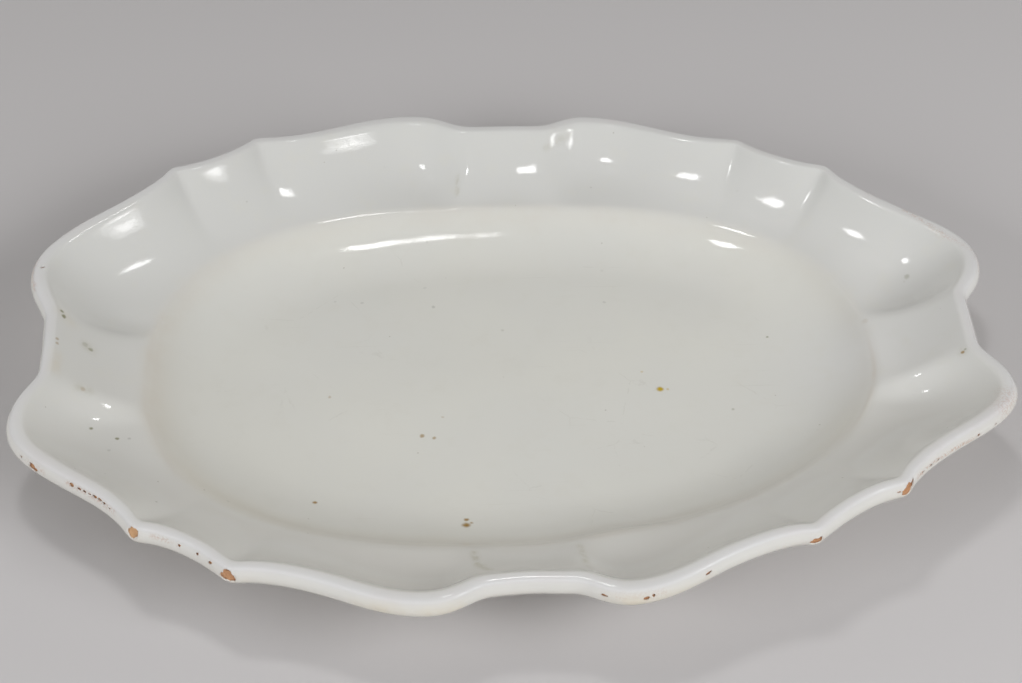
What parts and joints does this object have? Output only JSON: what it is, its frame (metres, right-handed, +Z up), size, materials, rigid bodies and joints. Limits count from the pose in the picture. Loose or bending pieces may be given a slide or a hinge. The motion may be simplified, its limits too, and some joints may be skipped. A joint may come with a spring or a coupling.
{
  "type": "scalloped oval serving platter",
  "caption": "Oval serving platter with a scalloped, lobed rim, rounded lip and shallow well, red clay under worn white glaze, standing on a low foot ring.",
  "frame": {"origin": "on the table plane under the middle of the platter", "axes": "+X along the length, +Y across the width, +Z up out of the well"},
  "size_m": [0.374, 0.289, 0.0427],
  "materials": {
    "clay": "matte",
    "face_glaze": "gloss",
    "back_glaze": "gloss"
  },
  "bodies": {
    "root": {"clay_body": "clay", "face_glaze": "face_glaze", "back_glaze": "back_glaze", "base_glaze": "back_glaze"}
  },
  "joints": []
}
